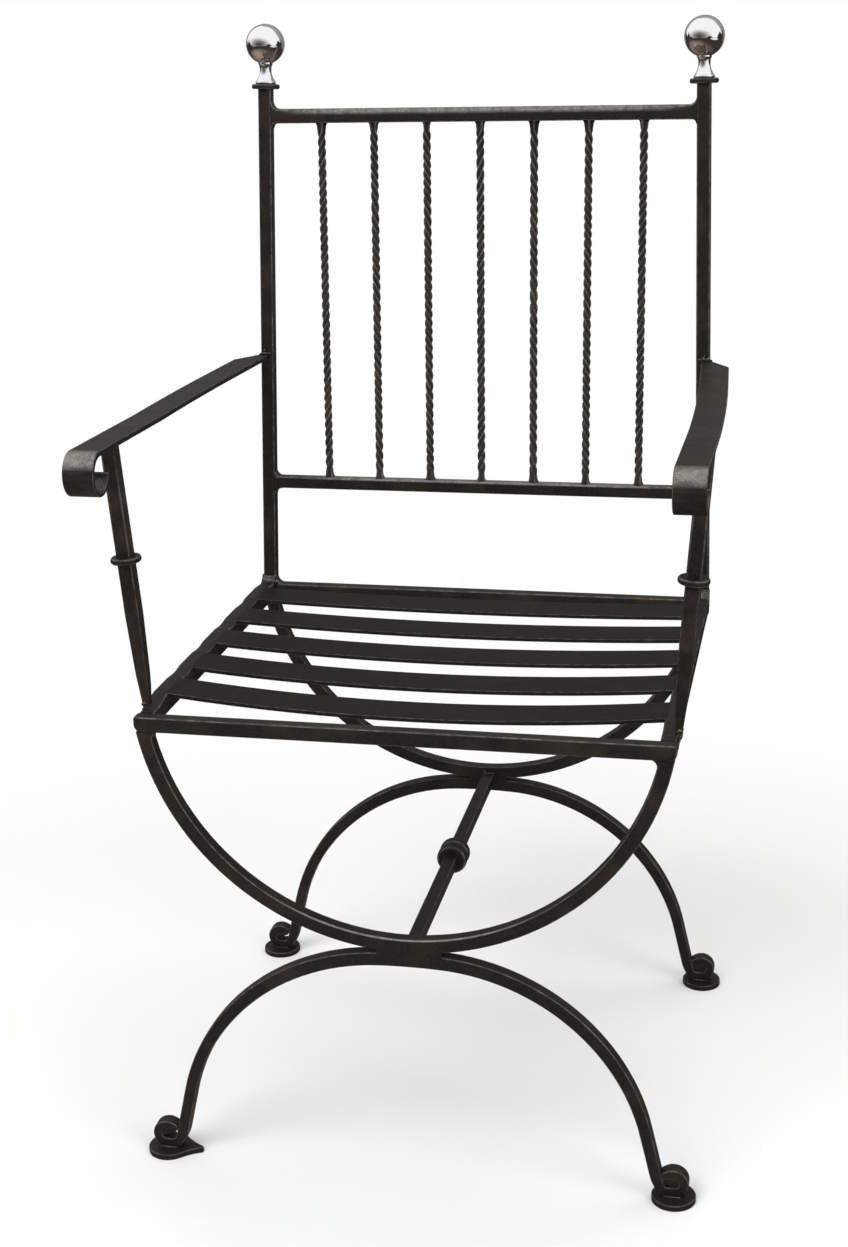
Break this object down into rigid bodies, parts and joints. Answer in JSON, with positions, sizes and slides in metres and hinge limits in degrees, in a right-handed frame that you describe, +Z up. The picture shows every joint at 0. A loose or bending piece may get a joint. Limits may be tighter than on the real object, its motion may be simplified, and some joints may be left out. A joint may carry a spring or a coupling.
{
  "type": "garden armchair",
  "caption": "Open garden armchair of welded square and flat bar with twisted back spindles, scrolled arms, round finials, sagging flat slats and bow and arch legs on round pads.",
  "frame": {"origin": "on the floor under the middle of the whole chair's bounding box", "axes": "+X to the right as one stands in front of the chair and faces it, +Y backwards, away from the front edge of the seat, +Z up"},
  "size_m": [0.528, 0.524, 1.0204],
  "materials": {
    "forged_steel": "dark brownish black, hammered and rubbed back to grey metal on the arrises",
    "polished_chrome": "polished bright"
  },
  "bodies": {
    "root": {"arm_left": "forged_steel", "arm_right": "forged_steel", "arm_support_collar_left": "forged_steel", "arm_support_collar_right": "forged_steel", "arm_support_left": "forged_steel", "arm_support_right": "forged_steel", "back_lower_rail": "forged_steel", "back_post_left": "forged_steel", "back_post_right": "forged_steel", "back_spindle_1": "forged_steel", "back_spindle_2": "forged_steel", "back_spindle_3": "forged_steel", "back_spindle_4": "forged_steel", "back_spindle_5": "forged_steel", "back_spindle_6": "forged_steel", "back_spindle_7": "forged_steel", "back_top_rail": "forged_steel", "finial_ball_left": "polished_chrome", "finial_ball_right": "polished_chrome", "finial_stud_left": "forged_steel", "finial_stud_right": "forged_steel", "finial_washer_left": "forged_steel", "finial_washer_right": "forged_steel", "foot_pad_front_left": "forged_steel", "foot_pad_front_right": "forged_steel", "foot_pad_rear_left": "forged_steel", "foot_pad_rear_right": "forged_steel", "front_leg_arch": "forged_steel", "front_leg_bow": "forged_steel", "front_leg_joint_weld": "forged_steel", "rear_leg_arch": "forged_steel", "rear_leg_bow": "forged_steel", "rear_leg_joint_weld": "forged_steel", "seat_back_rail": "forged_steel", "seat_front_rail": "forged_steel", "seat_side_rail_left": "forged_steel", "seat_side_rail_right": "forged_steel", "seat_slat_1": "forged_steel", "seat_slat_2": "forged_steel", "seat_slat_3": "forged_steel", "seat_slat_4": "forged_steel", "seat_slat_5": "forged_steel", "stretcher_bar": "forged_steel", "stretcher_knob": "forged_steel"}
  },
  "joints": []
}
